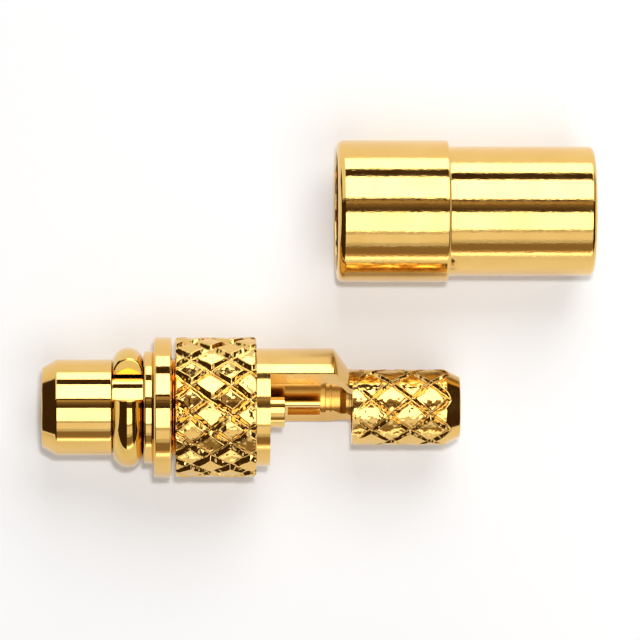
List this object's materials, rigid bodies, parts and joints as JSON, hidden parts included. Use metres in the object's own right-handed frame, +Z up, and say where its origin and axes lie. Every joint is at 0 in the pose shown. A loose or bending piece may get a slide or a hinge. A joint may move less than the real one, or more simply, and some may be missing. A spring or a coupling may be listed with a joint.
{
  "type": "mmcx crimp plug with ferrule",
  "caption": "Straight miniature coaxial crimp plug in gold-plated brass, with a knurled body, split snap ring, open solder window and a loose stepped crimp ferrule beside it.",
  "frame": {"origin": "under the middle of the pair's outline, on the surface that the plug and the ferrule lie on", "axes": "+X along the plug's axis from the nose to the crimp stem, +Y from the plug towards the ferrule, +Z up"},
  "size_m": [0.0138, 0.0084, 0.0036],
  "materials": {
    "gold_shell": "turned brass, bright gold plate",
    "gold_spring": "copper alloy spring, bright gold plate",
    "gold_body": "knurled and milled brass, bright gold plate",
    "white_insulator": "waxy white fluoropolymer",
    "gold_contact": "turned contact, bright gold plate",
    "gold_ferrule": "drawn tube, bright gold plate, slightly softer shine"
  },
  "bodies": {
    "plug": {"front_shell": "gold_shell", "rear_body": "gold_body", "insulator": "white_insulator", "center_contact": "gold_contact", "crimp_ferrule": "gold_ferrule"},
    "ring": {"snap_ring": "gold_spring"}
  },
  "joints": [
    {"name": "ring_turn", "type": "hinge", "parent": "plug", "child": "ring", "pos_m": [-0.00477, -0.00247, 0.00177], "axis": [1, 0, 0], "continuous": true}
  ]
}
